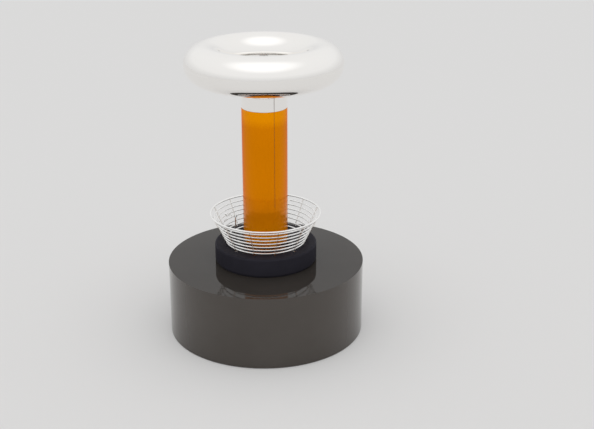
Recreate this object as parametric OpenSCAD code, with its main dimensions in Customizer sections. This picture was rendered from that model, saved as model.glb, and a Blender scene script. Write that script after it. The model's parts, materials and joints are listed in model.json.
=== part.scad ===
/* [Plinth] */
// Outside radius of the drum plinth
plinth_r = 700; // [650:5:760]
// Height of the top of the plinth above the floor
plinth_h = 525; // [480:5:620]
// Thickness of the curved wall
wall_t = 18; // [15:1:24]
// Thickness of the floor and top panels
panel_t = 18; // [15:1:24]
// Height of the rubber glide feet
foot_h = 5; // [4:0.5:8]
// Radius of one glide foot
foot_r = 30; // [20:1:40]
// Half the angle that the service door spans
door_half_angle = 24; // [20:1:25]

/* [Coil base] */
// Outside radius of the round base under the coils
base_r = 364; // [350:1:380]
// Height of the round base
base_h = 136; // [110:1:150]
// Wall thickness of the round base
base_t = 8; // [6:0.5:12]
// Height of the recessed foot ring under the round base
base_foot_h = 16; // [8:1:20]
// Rounding radius of the upper edge of the round base
base_round = 14; // [6:1:16]

/* [Secondary] */
// Outside radius of the clear tube that carries the winding
tube_r = 157.5; // [150:0.5:160]
// Wall thickness of the clear tube
tube_t = 5; // [4:0.5:6]
// Length of the tube above the winding, under the cap's skirt
bare_top = 92; // [80:1:140]
// Thickness of the layer of enamelled wire
winding_t = 1.1; // [0.6:0.1:1.6]
// Length of the winding
winding_l = 977; // [900:1:1060]
// Height of the winding's lower end above the base
winding_lift = 14; // [12:1:20]

/* [Primary] */
// Radius of the coil's tube
coil_tube_r = 5.5; // [4:0.25:6]
// Distance of the lowest turn in from the base's edge
coil_inset = 80; // [66:1:90]
// Growth of the radius from turn to turn
coil_dr = 13.3; // [11:0.1:15]
// Rise from turn to turn
coil_dz = 29.3; // [26:0.1:32]
// Number of turns
coil_turns = 7; // [6:1:8]
// Height of the lowest turn's centre above the base
coil_lift = 14; // [14:1:26]
// Number of supporting ribs
rib_count = 12; // [8:1:12]
// Thickness of one rib
rib_t = 4; // [3:0.5:8]
// Radius of the strike ring's tube
strike_tube_r = 7; // [6:0.5:8]

/* [Toroid] */
// Radius of the circle through the middle of the toroid's section
toroid_r = 399; // [380:1:420]
// Half width of the toroid's section
toroid_a = 147; // [130:1:150]
// Half height of the toroid's section
toroid_b = 134; // [115:1:140]
// Height of the toroid's middle above the end cap
toroid_lift = 203; // [170:1:260]
// Sheet thickness of the toroid
toroid_t = 2; // [1.5:0.25:3]
// Depth of the centre plate's upper face below the toroid's middle
plate_drop = 18; // [10:1:24]
// Radius of the centre plate's hub
hub_r = 75; // [68:1:90]
// Thickness of that hub
hub_t = 12; // [8:1:14]
// Number of spokes from the hub to the toroid
spokes = 8; // [6:1:10]

/* [Hidden] */

// Overrun of every cut, fit of fixed pieces, and running fit of turning ones
cut = 1;
fit = 0.3;
run = 0.05;

// Facet counts: fine for large round shapes, finer where two meet, plain for small ones
fine = 96;
finer = 360;
plain = 48;

// Plinth sizes that follow the driving ones
wall_in = plinth_r - wall_t;
floor_z = foot_h;
deck_z = foot_h + panel_t;
wall_top = plinth_h - panel_t;
wall_h = wall_top - floor_z;
feet_count = 8;
feet_ring_share = 0.86;
foot_ring_r = plinth_r * feet_ring_share;
top_hole_r = 60;

// Door seam: edges, hinge barrel and its relief
door_mid = 90;
seam = 4;
seam_angle = seam / plinth_r * 180 / PI;
hinge_az = door_mid + door_half_angle;
lock_az = door_mid - door_half_angle;
knuckle_r = 5;
barrel_seat_r = 5.8;
relief_r = 9;
hinge_r = plinth_r - knuckle_r - cut / 2;
leaf_t = 1.4;
leaf_depth = 11;
hinge_end = 24;
hinge_h = wall_h - 2 * hinge_end;
knuckles = 9;
knuckle_h = hinge_h / knuckles;
knuckle_gap = 0.5;
pin_r = 2;
door_gap = 2;

// Louvres in the door
louvre_w_angle = 12;
louvre_h = 8;
louvre_pitch = 18;
louvre_count = 6;
louvre_z_share = 0.16;

// Door lock
lock_r = 9;
lock_plug_r = 6;
lock_rim_r = 12;
lock_rim_t = 2;
lock_inset = 34;
lock_z = floor_z + wall_h / 2;
lock_in = 12;
cam_l = 56;
cam_w = 14;
cam_t = 3;
cam_gap = 2;
strike_t = 3;
strike_w = 40;
strike_h = 60;
strike_foot_w = 18;
strike_face = wall_in - lock_in + cam_gap;
strike_edge = lock_inset + 4;
strike_foot_az = lock_az + (lock_inset - strike_edge - strike_w + strike_foot_w / 2) / wall_in * 180 / PI;

// Posts between floor and top
post_count = 6;
post_w = 45;
post_wall_gap = 8;
post_strike_gap = 4;
post_ring_r = wall_in - post_w / 2 - post_wall_gap;
post_first = strike_foot_az - (strike_foot_w + post_w + 2 * post_strike_gap) / 2 / post_ring_r * 180 / PI
    - 360 / post_count;

// Recessed connection pan in the right rear wall
pan_az = 30;
pan_w = 210;
pan_h = 150;
pan_z = 150;
pan_t = 3;
pan_depth = 58;
pan_face = plinth_r - pan_depth;
pan_lip = 12;

// Rotary isolator
iso_y = -62;
iso_z = 20;
iso_body_w = 60;
iso_body_d = 50;
iso_plate_w = 58;
iso_plate_t = 3;
iso_shaft_r = 4;
iso_knob_r = 19;
iso_knob_d = 10;
iso_grip_w = 9;
iso_grip_d = 16;
iso_gap = 1;

// Circuit breaker
brk_y = 20;
brk_w = 36;
brk_h = 85;
brk_d = 44;
brk_front = 6;
brk_nose_h = 45;
brk_nose_d = 8;
brk_slot_h = 20;
tog_w = 24;
tog_r = 5;
tog_l = 13;
tog_t = 5;
tog_axle_r = 1.5;

// Cable glands
gland_y = 72;
gland_z = [-38, 28];
gland_r = [12, 9];
gland_bore = [6.5, 4.5];
gland_out = 22;
gland_in = 14;
gland_nut = 6;
gland_hex_scale = 1.18;

// Cooling fan behind a round port in the left rear wall
fan_az = 150;
fan_z = 270;
fan_w = 119;
fan_t = 25.4;
fan_bore = 57;
fan_port = 58;
fan_pad_w = 140;
fan_pad_in = 20;
fan_pad_face = wall_in - fan_pad_in;
fan_hub_r = 20;
fan_blade_r = 55;
fan_blades = 7;
fan_blade_t = 2;
fan_blade_pitch = 38;
fan_rotor_t = 16;
fan_boss_t = 5;
fan_shaft_r = 2;
fan_strut_w = 5;
fan_strut_set = 0.5;
fan_end = 2;
guard_wire = 1.5;
guard_rings = 5;
guard_bar_w = 3;

// Equipment on the tray
tray_w = 760;
tray_d = 520;
tray_t = 3;
tray_y = 60;
tray_z = deck_z + tray_t;
corner = 4;
filter_box = [110, 180, 62];
filter_at = [230, 200];
filter_lug = 14;
contactor_box = [78, 92, 86];
contactor_at = [125, 215];
contactor_step = 20;
rectifier_box = [64, 92, 30];
rectifier_at = [28, 215];
rectifier_plate = 8;
stud_r = 4;
stud_h = 9;
can_r = 33;
can_h = 118;
can_at = [-285, 60];
can_step = 80;
can_rim = 2;
can_stud_h = 8;
sink_w = 260;
sink_d = 200;
sink_base = 12;
sink_fin_h = 48;
sink_fin_t = 3;
sink_fins = 16;
sink_at = [0, 20];
module_box = [62, 106, 30];
module_step = 84;
module_stud_step = 28;
board_w = 200;
board_d = 130;
board_t = 1.6;
board_up = 30;
board_post_r = 4;
board_part_h = 12;
board_part_w = 24;
tank_w = 300;
tank_h = 220;
tank_t = 12;
tank_at = [-185, 190];
tank_foot = 40;
tank_can = [56, 38, 44];
tank_cols = 4;
tank_rows = 3;
tank_gap = 12;
bar_r = 7;
bar_w = 25;
bar_t = 5;
bar_hole_r = 22;
control_box = [220, 160, 58];
control_at = [240, -20];
control_lid = 2;
ground_l = 260;
ground_w = 25;
ground_t = 6;
ground_at = [-180, -140];
ground_up = 20;
ground_screws = 8;
ground_screw_r = 4;
ground_screw_h = 4;

// Coil base and tube seat
base_z = plinth_h;
base_top = base_z + base_h;
base_foot_inset = 12;
base_foot_r = base_r - base_foot_inset;
base_foot_w = 24;
socket_r = 220;
socket_t = 8;
socket_wall = 12;
socket_h = 60;
collar_h = 12;
collar_w = 18;
collar_round = 3;
socket_bolts = 8;
socket_bolt_r = 5;
socket_bolt_h = 6;
socket_bolt_ring = (socket_r + tube_r + socket_wall) / 2;

// Secondary
tube_z = base_z + socket_t;
wind_z = base_top + winding_lift;
tube_top = wind_z + winding_l + bare_top;
wind_in = tube_r + run;
wind_r = tube_r + winding_t;
cap_t = 9;
cap_over = 3;
cap_spigot = 15;
skirt_gap = 1;
cap_top = tube_top + cap_t;
toroid_z = cap_top + toroid_lift;
cap_spigot_t = 8;
lead_az = -63.5;
lead_r = 1.5;
lead_end_r = 1.2;
lead_out = wind_r + cap_over + lead_r + fit;
lead_low = 8;
lead_hole_r = 2.5;
earth_az = -130;
earth_r = tube_r + collar_w + lead_r + fit;
term_r = 8;
term_h = 11;
term_neck = 4;
term_inset = 10;

// Primary path: flat turns that step up behind the tube
step_from = 60;
step_to = 120;
step_span = step_to - step_from;
rings_per_turn = 24;
coil_sides = 6;
coil_r = base_r - coil_inset;
coil_z = base_top + coil_lift;
coil_angle = 360 * coil_turns - step_span;
coil_rings = coil_angle / 360 * rings_per_turn;
function ease(t) = t <= 0 ? 0 : t >= 1 ? 1 : t * t * (3 - 2 * t);
function level(a) = floor(a / 360) + ease((a - 360 * floor(a / 360) - (360 - step_span)) / step_span);
function turn_r(a) = coil_r + coil_dr * level(a);
function turn_z(a) = coil_z + coil_dz * level(a);
function coil_point(a) = [
    turn_r(a) * cos(a + step_to), turn_r(a) * sin(a + step_to), turn_z(a)
];
coil_points = concat(
    [coil_point(0) - 2 * coil_tube_r * coil_way(0)],
    [for (i = [0 : coil_rings]) coil_point(i * 360 / rings_per_turn)],
    [coil_point(coil_angle) + 2 * coil_tube_r * coil_way(coil_angle)]
);
function coil_way(a) = [-sin(a + step_to), cos(a + step_to), 0];

// Ribs: a strip outside the turns, on a foot that runs inward over the base
slope_l = norm([coil_dr, coil_dz]);
slope = [coil_dr, coil_dz] / slope_l;
side = [coil_dz, -coil_dr] / slope_l;
strike_out = 13.5;
strike_up = -3;
strike_r = coil_r + coil_dr * coil_turns + strike_out;
strike_z = coil_z + coil_dz * coil_turns + strike_up;
rib_seat = 2.5;
rib_w = 9;
rib_foot_h = 8;
rib_foot_in = 185;
rib_first = 15;
rib_step = 360 / rib_count;
clamp_w = 20;
clamp_t = 5;
clamp_screw_r = 3.5;
clamp_screw_h = 3;

// Feed to the primary, from below the coil's start and below the tap
feed_pillar_r = 11;
feed_block = 22;
feed_gap = 25;
feed_in = coil_r - feed_gap;
feed_start = coil_point(0) - (2 * coil_tube_r + feed_block / 2) * coil_way(0);
tap_turn = 4;
tap_az = 150;
tap_block = 20;
tap_bar_t = 6;
tap_bore_r = coil_tube_r + fit + tap_block / 2 * tan(180 / rings_per_turn);
tap_lead_r = 5;
strike_gap_angle = 4;
strike_lead_r = 4;
strike_lead_az = 84;
strike_foot_r = 12;
strike_foot_h = 6;

// Toroid carrier
plate_t = 3;
plate_z = toroid_z - plate_drop - plate_t;
plate_r = toroid_r - toroid_a * sqrt(1 - pow(plate_drop / toroid_b, 2)) - fit;
plate_skirt = 30;
plate_rim = 16;
spoke_w = 10;
spoke_h = 14;
spoke_in = 5;
post_r = 30;
post_wall = 6;
flange_r = 60;
flange_t = 8;
toroid_points = 48;

// Polar placing
module at_az(az, r = 0, z = 0) {
    rotate([0, 0, az]) translate([r, 0, z]) children();
}

// A ring between two radii
module ring(r_in, r_out, h) {
    rotate_extrude($fn = fine) translate([r_in, 0]) square([r_out - r_in, h]);
}

// A sector of a ring, between two azimuths
module arc_wall(r_in, r_out, h, from, to) {
    rotate([0, 0, from]) rotate_extrude(angle = to - from, $fn = fine)
        translate([r_in, 0]) square([r_out - r_in, h]);
}

// A block that stands on its base, centred in plan
module block(size) {
    translate([-size.x / 2, -size.y / 2, 0]) cube(size);
}

// A bar whose ends lie at a low and a high corner
module span_box(low, high) {
    translate(low) cube(high - low);
}

// A round bar that lies along the radial direction
module radial_rod(r, l, n = plain) {
    rotate([0, 90, 0]) cylinder(r = r, h = l, $fn = n);
}

// Plinth

module glide_feet() color("#1c1c1c") {
    for (i = [0 : feet_count - 1])
        at_az((i + 0.5) * 360 / feet_count, foot_ring_r) cylinder(r = foot_r, h = foot_h, $fn = plain);
    cylinder(r = foot_r, h = foot_h, $fn = plain);
}

module floor_panel() color("#5a5048") {
    translate([0, 0, floor_z]) cylinder(r = wall_in - fit, h = panel_t, $fn = fine);
}

module wall_front() color("#3b3836") {
    translate([0, 0, floor_z]) arc_wall(wall_in, plinth_r, wall_h, 180, 360);
}

// Room for the hinge barrel, wider outside its pin so that the edges clear each other
module hinge_relief() {
    at_az(hinge_az, hinge_r, floor_z - cut) {
        cylinder(r = barrel_seat_r, h = wall_h + 2 * cut, $fn = plain);
        difference() {
            cylinder(r = relief_r, h = wall_h + 2 * cut, $fn = plain);
            span_box([-2 * relief_r, -relief_r - cut, -cut], [-cut, relief_r + cut, wall_h + 3 * cut]);
        }
    }
}

module pan_window(grow) {
    at_az(pan_az, pan_face - pan_t - cut, pan_z - pan_h / 2 - grow)
        translate([0, -pan_w / 2 - grow, 0])
            cube([plinth_r - pan_face + 2 * pan_t + 2 * cut, pan_w + 2 * grow, pan_h + 2 * grow]);
}

module wall_rear_right() color("#3b3836") {
    difference() {
        translate([0, 0, floor_z]) arc_wall(wall_in, plinth_r, wall_h, 0, lock_az - seam_angle / 2);
        pan_window(fit);
    }
}

module fan_port_cut(r, from) {
    at_az(fan_az, from, fan_z) radial_rod(r, plinth_r - from + cut);
}

module wall_rear_left() color("#3b3836") {
    difference() {
        translate([0, 0, floor_z]) arc_wall(wall_in, plinth_r, wall_h, hinge_az + seam_angle / 2, 180);
        hinge_relief();
        fan_port_cut(fan_port, wall_in - wall_t);
    }
}

// Places of the two rods that feed the primary
module at_feeds(z) {
    translate([feed_start.x, feed_start.y, z]) children();
    at_az(tap_az, feed_in, z) children();
}

module earth_hole(z, h) {
    at_az(earth_az, earth_r, z) cylinder(r = lead_hole_r, h = h, $fn = plain);
}

module top_panel() color("#3b3836") {
    difference() {
        translate([0, 0, wall_top]) cylinder(r = plinth_r, h = panel_t, $fn = fine);
        translate([0, 0, wall_top - cut]) cylinder(r = top_hole_r, h = panel_t + 2 * cut, $fn = plain);
        at_feeds(wall_top - cut) cylinder(r = bar_hole_r, h = panel_t + 2 * cut, $fn = plain);
        earth_hole(wall_top - cut, panel_t + 2 * cut);
    }
}

module support_posts() color("#8a6f4d") {
    for (i = [0 : post_count - 1])
        at_az(post_first + i * 360 / post_count, post_ring_r, deck_z)
            block([post_w, post_w, wall_top - deck_z]);
}

// Service door with its hinge and lock

module lock_spot(r) {
    at_az(lock_az + lock_inset / plinth_r * 180 / PI, r, lock_z) children();
}

module door_panel() color("#3b3836") {
    difference() {
        translate([0, 0, floor_z + door_gap]) arc_wall(
            wall_in, plinth_r, wall_h - 2 * door_gap,
            lock_az + seam_angle / 2, hinge_az - seam_angle / 2
        );
        hinge_relief();
        lock_spot(wall_in - wall_t) radial_rod(lock_r + fit, 2 * wall_t + cut);
        for (i = [0 : louvre_count - 1])
            translate([0, 0, floor_z + wall_h * louvre_z_share + i * louvre_pitch]) arc_wall(
                wall_in - wall_t, plinth_r + cut, louvre_h,
                door_mid - louvre_w_angle, door_mid + louvre_w_angle
            );
    }
}

// One leaf of the piano hinge: way is 1 on the wall side and -1 on the door side
module hinge_leaf(way, first) {
    at_az(hinge_az, hinge_r, floor_z + hinge_end) {
        for (i = [first : 2 : knuckles - 1]) translate([0, 0, i * knuckle_h + knuckle_gap / 2])
            difference() {
                union() {
                    cylinder(r = knuckle_r, h = knuckle_h - knuckle_gap, $fn = plain);
                    span_box(
                        [-knuckle_r - cut, way > 0 ? knuckle_gap : -knuckle_gap - leaf_t, 0],
                        [0, way > 0 ? knuckle_gap + leaf_t : -knuckle_gap, knuckle_h - knuckle_gap]
                    );
                }
                translate([0, 0, -cut]) cylinder(r = pin_r + run, h = knuckle_h + 2 * cut, $fn = plain);
            }
        span_box(
            [-knuckle_r - leaf_depth, way > 0 ? knuckle_gap : -knuckle_gap - leaf_t, 0],
            [-knuckle_r - knuckle_gap, way > 0 ? knuckle_gap + leaf_t : -knuckle_gap, hinge_h]
        );
    }
}

module hinge_wall_leaf() color("#b8babc") hinge_leaf(1, 0);

module hinge_door_leaf() color("#b8babc") hinge_leaf(-1, 1);

module hinge_pin() color("#9a9c9e") {
    at_az(hinge_az, hinge_r, floor_z + hinge_end) cylinder(r = pin_r, h = hinge_h, $fn = plain);
}

module lock_barrel() color("#c4c6c8") {
    difference() {
        union() {
            lock_spot(wall_in - lock_in) radial_rod(lock_r, wall_t + lock_in);
            lock_spot(wall_in - lock_in) radial_rod(lock_rim_r, lock_in - fit);
        }
        lock_spot(wall_in - lock_in - cut) radial_rod(lock_plug_r + run, wall_t + lock_in + 2 * cut);
    }
}

module lock_cam() color("#a9abad") {
    lock_spot(wall_in - lock_in - cam_t - run) {
        difference() {
            radial_rod(lock_plug_r, wall_t + lock_in + cam_t - lock_rim_t);
            translate([wall_t + lock_in + cam_t - 2 * lock_rim_t, -run * 10, -lock_plug_r / 2])
                cube([2 * lock_rim_t, run * 20, lock_plug_r]);
        }
        span_box([0, -cam_w / 2, -cam_w / 2], [cam_t, cam_w / 2, cam_l - cam_w / 2]);
    }
}

module lock_strike() color("#a9abad") {
    lock_spot(strike_face) span_box(
        [0, -strike_edge - strike_w, -strike_h / 2], [strike_t, -strike_edge, strike_h / 2]
    );
    at_az(strike_foot_az, 0, lock_z) span_box(
        [strike_face - strike_t, -strike_foot_w / 2, -strike_h / 2],
        [wall_in - fit, strike_foot_w / 2, strike_h / 2]
    );
}

// Connection pan with its switches and glands

module on_pan(y, z) {
    at_az(pan_az, pan_face, pan_z) translate([0, y, z]) children();
}

module connection_pan() color("#6f7275") {
    difference() {
        on_pan(0, 0) union() {
            difference() {
                intersection() {
                    span_box(
                        [-pan_t, -pan_w / 2, -pan_h / 2], [plinth_r - pan_face, pan_w / 2, pan_h / 2]
                    );
                    translate([-pan_face, 0, -pan_h]) cylinder(r = plinth_r - fit, h = 2 * pan_h, $fn = fine);
                }
                span_box(
                    [0, -pan_w / 2 + pan_t, -pan_h / 2 + pan_t],
                    [plinth_r, pan_w / 2 - pan_t, pan_h / 2 - pan_t]
                );
            }
        }
        on_pan(iso_y, iso_z) translate([-2 * pan_t, 0, 0]) radial_rod(iso_shaft_r * 2, 4 * pan_t);
        on_pan(brk_y, 0) span_box(
            [-2 * pan_t, -brk_w / 2 - fit, -brk_nose_h / 2 - fit],
            [2 * pan_t, brk_w / 2 + fit, brk_nose_h / 2 + fit]
        );
        for (i = [0, 1]) on_pan(gland_y, gland_z[i])
            translate([-2 * pan_t, 0, 0]) radial_rod(gland_r[i] + fit, 4 * pan_t);
    }
}

module isolator_body() color("#2b2d30") {
    on_pan(iso_y, iso_z) difference() {
        union() {
            span_box(
                [-pan_t - iso_body_d, -iso_body_w / 2 + corner, -iso_body_w / 2],
                [-pan_t, iso_body_w / 2, iso_body_w / 2]
            );
            span_box(
                [0, -iso_plate_w / 2 + corner, -iso_plate_w / 2],
                [iso_plate_t, iso_plate_w / 2, iso_plate_w / 2]
            );
            translate([-pan_t, 0, 0]) radial_rod(iso_shaft_r * 2 - fit, pan_t + cut);
        }
        translate([-iso_body_d / 2, 0, 0]) radial_rod(iso_shaft_r + run, iso_body_d);
    }
}

module isolator_handle() color("#b3261e") {
    on_pan(iso_y, iso_z) {
        translate([-iso_body_d / 2 + cut, 0, 0])
            radial_rod(iso_shaft_r, iso_body_d / 2 + iso_plate_t + iso_gap);
        translate([iso_plate_t + iso_gap, 0, 0]) radial_rod(iso_knob_r, iso_knob_d);
        span_box(
            [iso_plate_t + iso_gap + iso_knob_d, -iso_grip_w / 2, -iso_knob_r + corner / 2],
            [iso_plate_t + iso_gap + iso_knob_d + iso_grip_d, iso_grip_w / 2, iso_knob_r - corner / 2]
        );
    }
}

module breaker_body() color("#d6d7d4") {
    on_pan(brk_y, 0) difference() {
        union() {
            span_box([-pan_t - brk_d, -brk_w / 2, -brk_h / 2], [-pan_t, brk_w / 2, brk_h / 2]);
            span_box([-pan_t, -brk_w / 2, -brk_nose_h / 2], [brk_nose_d, brk_w / 2, brk_nose_h / 2]);
        }
        span_box(
            [brk_nose_d - tog_r - tog_l, -tog_w / 2 - fit, -brk_slot_h],
            [brk_nose_d + cut, tog_w / 2 + fit, brk_slot_h]
        );
        translate([brk_nose_d - tog_r, -tog_w / 2 - corner, 0])
            rotate([-90, 0, 0]) cylinder(r = tog_axle_r + run, h = tog_w + 2 * corner, $fn = plain);
    }
}

module breaker_toggle() color("#1f2022") {
    on_pan(brk_y, 0) translate([brk_nose_d - tog_r, 0, 0]) {
        translate([0, -tog_w / 2, 0]) rotate([-90, 0, 0]) cylinder(r = tog_r, h = tog_w, $fn = plain);
        translate([0, -tog_w / 2 - corner + fit, 0])
            rotate([-90, 0, 0]) cylinder(r = tog_axle_r, h = tog_w + 2 * corner - 2 * fit, $fn = plain);
        rotate([0, -30, 0]) span_box(
            [tog_r / 2, -tog_w / 2 + cut, -tog_t / 2], [tog_r + tog_l, tog_w / 2 - cut, tog_t / 2]
        );
    }
}

module cable_glands() color("#46484b") {
    for (i = [0, 1]) on_pan(gland_y, gland_z[i]) difference() {
        union() {
            translate([-pan_t - gland_in, 0, 0]) radial_rod(gland_r[i], gland_in + gland_out + pan_t);
            radial_rod(gland_r[i] * gland_hex_scale, gland_nut, 6);
            translate([-pan_t - gland_nut, 0, 0]) radial_rod(gland_r[i] * gland_hex_scale, gland_nut, 6);
        }
        translate([-pan_t - gland_in - cut, 0, 0])
            radial_rod(gland_bore[i], gland_in + gland_out + pan_t + 2 * cut);
    }
}

// Cooling fan

module at_fan(r) {
    at_az(fan_az, r, fan_z) children();
}

module fan_mount() color("#8a6f4d") {
    difference() {
        intersection() {
            at_fan(fan_pad_face) span_box(
                [0, -fan_pad_w / 2, -fan_pad_w / 2], [2 * wall_t, fan_pad_w / 2, fan_pad_w / 2]
            );
            cylinder(r = wall_in - fit, h = plinth_h, $fn = finer);
        }
        fan_port_cut(fan_port, fan_pad_face - cut);
    }
}

module fan_frame() color("#25272a") {
    at_fan(fan_pad_face - fan_t) difference() {
        union() {
            difference() {
                span_box([0, -fan_w / 2, -fan_w / 2], [fan_t, fan_w / 2, fan_w / 2]);
                translate([-cut, 0, 0]) radial_rod(fan_bore, fan_t + 2 * cut);
            }
            radial_rod(fan_hub_r, fan_boss_t);
            for (a = [45 : 90 : 315]) rotate([a, 0, 0]) span_box(
                [fan_strut_set, -fan_strut_w / 2, fan_hub_r / 2],
                [fan_boss_t - fan_strut_set, fan_strut_w / 2, fan_bore + cut]
            );
        }
        translate([-cut, 0, 0]) radial_rod(fan_shaft_r + run, fan_boss_t + 2 * cut);
    }
}

module fan_rotor() color("#303338") {
    at_fan(fan_pad_face - fan_t) {
        translate([fan_boss_t - corner, 0, 0]) radial_rod(fan_shaft_r, corner + fan_end);
        translate([fan_boss_t + cut, 0, 0]) radial_rod(fan_hub_r, fan_rotor_t);
        for (i = [0 : fan_blades - 1]) rotate([i * 360 / fan_blades, 0, 0])
            translate([fan_boss_t + cut + fan_rotor_t / 2, 0, fan_hub_r - cut])
                rotate([0, 0, fan_blade_pitch]) span_box(
                    [-fan_rotor_t / 2, -fan_blade_t / 2, 0],
                    [fan_rotor_t / 2, fan_blade_t / 2, fan_blade_r - fan_hub_r + cut]
                );
    }
}

module fan_guard() color("#9a9c9e") {
    at_fan(fan_pad_face) {
        for (i = [1 : guard_rings]) rotate([0, 90, 0])
            translate([0, 0, fit]) ring(
                i * fan_bore / guard_rings - guard_wire - fit, i * fan_bore / guard_rings - fit, 2 * guard_wire
            );
        for (a = [0, 90]) rotate([a, 0, 0]) span_box(
            [fit, -guard_bar_w / 2, -fan_port + fit], [fit + 2 * guard_wire, guard_bar_w / 2, fan_port - fit]
        );
    }
}

// Equipment tray and what stands on it

module equipment_tray() color("#9fa2a5") {
    translate([0, tray_y, deck_z]) block([tray_w, tray_d, tray_t]);
}

module on_tray(at) {
    translate([at.x, at.y, tray_z]) children();
}

module mains_filter() color("#b9bbbd") {
    on_tray(filter_at) {
        block(filter_box);
        block([filter_box.x - 2 * filter_lug, filter_box.y + 2 * filter_lug, tray_t]);
        for (s = [-1, 1]) translate([0, s * filter_box.y / 3, filter_box.z])
            cylinder(r = stud_r, h = stud_h, $fn = plain);
    }
}

module contactor() color("#3a3d42") {
    on_tray(contactor_at) {
        block(contactor_box);
        block([contactor_box.x, contactor_box.y + 2 * contactor_step, contactor_box.z / 2]);
    }
}

module rectifier() color("#4a4d52") {
    on_tray(rectifier_at) {
        block([rectifier_box.x + contactor_step, rectifier_box.y, rectifier_plate]);
        block([rectifier_box.x, rectifier_box.y - contactor_step, rectifier_plate + rectifier_box.z]);
        for (i = [-1, 0, 1]) translate([0, i * rectifier_box.y / 4, rectifier_plate + rectifier_box.z])
            cylinder(r = stud_r, h = stud_h, $fn = plain);
    }
}

module bus_capacitors() color("#27313f") {
    for (i = [0, 1], j = [0, 1]) on_tray([can_at.x + i * can_step, can_at.y - j * can_step]) {
        cylinder(r = can_r, h = can_h, $fn = plain);
        cylinder(r = can_r + can_rim, h = can_h / 4, $fn = plain);
        for (s = [-1, 1]) translate([s * can_r / 2, 0, can_h])
            cylinder(r = stud_r, h = can_stud_h, $fn = plain);
    }
}

sink_top = tray_z + sink_fin_h + sink_base;

module heatsink() color("#aeb1b3") {
    translate([sink_at.x, sink_at.y, tray_z]) {
        translate([0, 0, sink_fin_h]) block([sink_w, sink_d, sink_base]);
        for (i = [0 : sink_fins - 1])
            translate([-sink_w / 2 + (i + 0.5) * sink_w / sink_fins, 0, 0])
                block([sink_fin_t, sink_d, sink_fin_h + cut]);
    }
}

module power_modules() color("#d9d6cc") {
    for (s = [-1, 1]) translate([sink_at.x + s * module_step / 2, sink_at.y, sink_top]) {
        block(module_box);
        for (i = [-1, 0, 1]) translate([0, i * module_stud_step, module_box.z])
            cylinder(r = stud_r, h = stud_h, $fn = plain);
    }
}

module driver_board() color("#1f5c3a") {
    translate([sink_at.x, sink_at.y, sink_top]) {
        translate([0, 0, module_box.z + board_up]) block([board_w, board_d, board_t]);
        for (x = [-1, 1], y = [-1, 1])
            translate([x * (board_w / 2 - 2 * board_post_r), y * (board_d / 2 - 2 * board_post_r), 0])
                cylinder(r = board_post_r, h = module_box.z + board_up + cut, $fn = plain);
        for (i = [-2 : 2]) translate([i * board_w / 6, 0, module_box.z + board_up])
            block([board_part_w, board_part_w, board_t + board_part_h]);
    }
}

module tank_board() color("#d8d3c2") {
    on_tray(tank_at) {
        block([tank_w, tank_t, tank_h]);
        for (s = [-1, 1]) translate([s * (tank_w / 2 - tank_t / 2), tank_foot / 2, 0])
            block([tank_t, tank_foot, tank_foot]);
    }
}

module tank_capacitors() color("#c8c9c4") {
    on_tray(tank_at) for (c = [0 : tank_cols - 1], r = [0 : tank_rows - 1])
        translate([
            (c - (tank_cols - 1) / 2) * (tank_can.x + tank_gap),
            -tank_t / 2 - tank_can.y / 2,
            tank_gap + r * (tank_can.z + tank_gap)
        ]) block(tank_can);
}

// A strap on the tank board's top edge and the rod that rises from it
module feed_bar(at) {
    rod_z = tray_z + tank_h;
    translate([at.x, at.y, rod_z]) cylinder(r = bar_r, h = base_top - rod_z, $fn = plain);
    span_box(
        [at.x - bar_w / 2, min(at.y - bar_w / 2, tank_at.y - tank_t / 2), rod_z],
        [at.x + bar_w / 2, max(at.y + bar_w / 2, tank_at.y + tank_t / 2), rod_z + bar_t]
    );
}

module feed_bars() color("#b87333") {
    feed_bar(feed_start);
    feed_bar(feed_in * [cos(tap_az), sin(tap_az)]);
}

module control_unit() color("#2f3b46") {
    on_tray(control_at) {
        block(control_box);
        block([control_box.x + 2 * control_lid, control_box.y + 2 * control_lid, control_box.z / 2]);
    }
}

module ground_bar() color("#b5903d") {
    on_tray(ground_at) {
        translate([0, 0, ground_up]) block([ground_l, ground_w, ground_t]);
        for (s = [-1, 1]) translate([s * ground_l / 3, 0, 0])
            cylinder(r = ground_w / 2 - cut, h = ground_up + cut, $fn = plain);
        for (i = [0 : ground_screws - 1])
            translate([(i - (ground_screws - 1) / 2) * ground_l / ground_screws, 0, ground_up + ground_t])
                cylinder(r = ground_screw_r, h = ground_screw_h, $fn = plain);
    }
}

// Round base under the coils

base_arc_points = [
    for (a = [0 : 15 : 90]) [
        base_r - base_round + base_round * cos(a), base_h - base_round + base_round * sin(a)
    ]
];

module base_housing() color("#25242a") {
    difference() {
        translate([0, 0, base_z]) rotate_extrude($fn = fine) polygon(concat(
            [
                [base_r - base_t, base_h - base_t],
                [base_r - base_t, base_foot_h + base_t],
                [base_foot_r - base_foot_w, base_foot_h + base_t],
                [base_foot_r - base_foot_w, base_foot_h],
                [base_r, base_foot_h]
            ],
            base_arc_points,
            [[tube_r + fit, base_h], [tube_r + fit, base_h - base_t]]
        ));
        at_feeds(base_top - 2 * base_t) cylinder(r = bar_r + fit, h = 3 * base_t, $fn = plain);
        earth_hole(base_top - 2 * base_t, 3 * base_t);
    }
}

module base_foot_ring() color("#141316") {
    translate([0, 0, base_z]) ring(base_foot_r - base_foot_w, base_foot_r, base_foot_h);
}

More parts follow.
